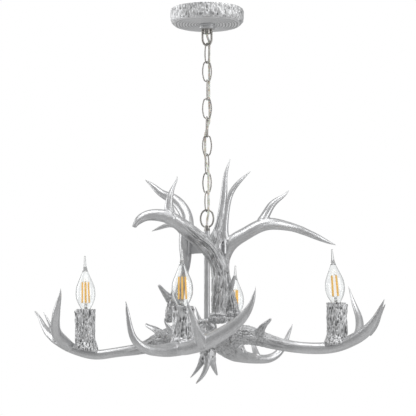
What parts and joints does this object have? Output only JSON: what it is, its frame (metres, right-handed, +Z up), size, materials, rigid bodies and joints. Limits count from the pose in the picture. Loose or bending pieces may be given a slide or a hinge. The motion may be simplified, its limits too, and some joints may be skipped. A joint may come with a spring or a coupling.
{
  "type": "antler chandelier",
  "caption": "Silver antler chandelier on a chain: branching antler arms hold candle lamps round a hub, under a ring of upright antlers.",
  "frame": {"origin": "centre of the ceiling bar's two slots, on the ceiling plane", "axes": "+Z up out of the ceiling, +X to the viewer's right, -Y towards the viewer"},
  "size_m": [0.6213, 0.6028, 0.6647],
  "materials": {
    "antler_silver": "silver-painted cast resin: rough pearled burrs, long grooves, smooth polished tines",
    "sleeve_silver": "silver-painted cast resin with bark relief",
    "canopy_silver": "silver-painted cast resin with bark relief round the edge",
    "silver_metal": "silver paint, satin",
    "chain_nickel": "nickel plate, bright",
    "zinc_steel": "zinc plate",
    "terminal_plastic": "moulded",
    "cable_sheath": "clear cream sheath",
    "socket_plastic": "moulded",
    "bulb_glass": "clear blown glass",
    "bulb_cap_nickel": "nickel plate",
    "filament": "matt filament coating"
  },
  "bodies": {
    "canopy": {"ceiling_bar": "zinc_steel", "canopy": "canopy_silver", "canopy_collar": "silver_metal", "canopy_loop": "silver_metal", "terminal_block": "terminal_plastic", "supply_cable": "cable_sheath"},
    "link_1": {"chain_link_1": "chain_nickel", "chain_cable_1": "cable_sheath"},
    "link_2": {"chain_link_2": "chain_nickel", "chain_cable_2": "cable_sheath"},
    "link_3": {"chain_link_3": "chain_nickel", "chain_cable_3": "cable_sheath"},
    "link_4": {"chain_link_4": "chain_nickel", "chain_cable_4": "cable_sheath"},
    "link_5": {"chain_link_5": "chain_nickel", "chain_cable_5": "cable_sheath"},
    "link_6": {"chain_link_6": "chain_nickel", "chain_cable_6": "cable_sheath"},
    "link_7": {"chain_link_7": "chain_nickel", "chain_cable_7": "cable_sheath"},
    "link_8": {"chain_link_8": "chain_nickel", "chain_cable_8": "cable_sheath"},
    "link_9": {"chain_link_9": "chain_nickel", "chain_cable_9": "cable_sheath"},
    "lamp": {"lamp_ring": "silver_metal", "ring_nut": "silver_metal", "centre_tube": "silver_metal", "upper_bracket": "silver_metal", "lug_screws": "zinc_steel", "hub": "antler_silver", "hub_studs": "zinc_steel", "finial": "antler_silver", "lamp_cable": "cable_sheath", "upper_antler_front": "antler_silver", "upper_antler_right": "antler_silver", "upper_antler_left": "antler_silver", "arm_left": "antler_silver", "candle_sleeve_left": "sleeve_silver", "lamp_socket_left": "socket_plastic", "arm_right": "antler_silver", "candle_sleeve_right": "sleeve_silver", "lamp_socket_right": "socket_plastic", "arm_front": "antler_silver", "candle_sleeve_front": "sleeve_silver", "lamp_socket_front": "socket_plastic", "arm_back": "antler_silver", "candle_sleeve_back": "sleeve_silver", "lamp_socket_back": "socket_plastic"},
    "bulb_left": {"bulb_left_glass": "bulb_glass", "bulb_left_cap": "bulb_cap_nickel", "bulb_left_filaments": "filament"},
    "bulb_right": {"bulb_right_glass": "bulb_glass", "bulb_right_cap": "bulb_cap_nickel", "bulb_right_filaments": "filament"},
    "bulb_front": {"bulb_front_glass": "bulb_glass", "bulb_front_cap": "bulb_cap_nickel", "bulb_front_filaments": "filament"},
    "bulb_back": {"bulb_back_glass": "bulb_glass", "bulb_back_cap": "bulb_cap_nickel", "bulb_back_filaments": "filament"}
  },
  "joints": [
    {"name": "chain_hinge_1", "type": "hinge", "parent": "canopy", "child": "link_1", "pos_m": [0, 0, -0.06365], "axis": [1, 0, 0], "range_deg": [-8, 8]},
    {"name": "chain_hinge_2", "type": "hinge", "parent": "link_1", "child": "link_2", "pos_m": [0, 0, -0.09625], "axis": [0.4695, -0.8829, 0], "range_deg": [-8, 8]},
    {"name": "chain_hinge_3", "type": "hinge", "parent": "link_2", "child": "link_3", "pos_m": [0, 0, -0.12955], "axis": [0.9962, 0.0872, 0], "range_deg": [-8, 8]},
    {"name": "chain_hinge_4", "type": "hinge", "parent": "link_3", "child": "link_4", "pos_m": [0, 0, -0.16285], "axis": [0.0349, -0.9994, 0], "range_deg": [-8, 8]},
    {"name": "chain_hinge_5", "type": "hinge", "parent": "link_4", "child": "link_5", "pos_m": [0, 0, -0.19615], "axis": [0.9976, 0.0698, 0], "range_deg": [-8, 8]},
    {"name": "chain_hinge_6", "type": "hinge", "parent": "link_5", "child": "link_6", "pos_m": [0, 0, -0.22945], "axis": [0.1736, 0.9848, 0], "range_deg": [-8, 8]},
    {"name": "chain_hinge_7", "type": "hinge", "parent": "link_6", "child": "link_7", "pos_m": [0, 0, -0.26275], "axis": [0.9994, -0.0349, 0], "range_deg": [-8, 8]},
    {"name": "chain_hinge_8", "type": "hinge", "parent": "link_7", "child": "link_8", "pos_m": [0, 0, -0.29605], "axis": [0.4067, 0.9135, 0], "range_deg": [-8, 8]},
    {"name": "chain_hinge_9", "type": "hinge", "parent": "link_8", "child": "link_9", "pos_m": [0, 0, -0.32935], "axis": [0.9511, -0.309, 0], "range_deg": [-8, 8]},
    {"name": "chain_hinge_10", "type": "hinge", "parent": "link_9", "child": "lamp", "pos_m": [0, 0, -0.36265], "axis": [0.4695, 0.8829, 0], "range_deg": [-8, 8]},
    {"name": "bulb_left_lift", "type": "slide", "parent": "lamp", "child": "bulb_left", "axis": [-0.0262, 0, 0.9997], "range_m": [0, 0.03]},
    {"name": "bulb_right_lift", "type": "slide", "parent": "lamp", "child": "bulb_right", "axis": [-0.0698, 0, 0.9976], "range_m": [0, 0.03]},
    {"name": "bulb_front_lift", "type": "slide", "parent": "lamp", "child": "bulb_front", "axis": [-0.0175, 0, 0.9998], "range_m": [0, 0.03]},
    {"name": "bulb_back_lift", "type": "slide", "parent": "lamp", "child": "bulb_back", "axis": [0.0175, 0, 0.9998], "range_m": [0, 0.03]}
  ]
}
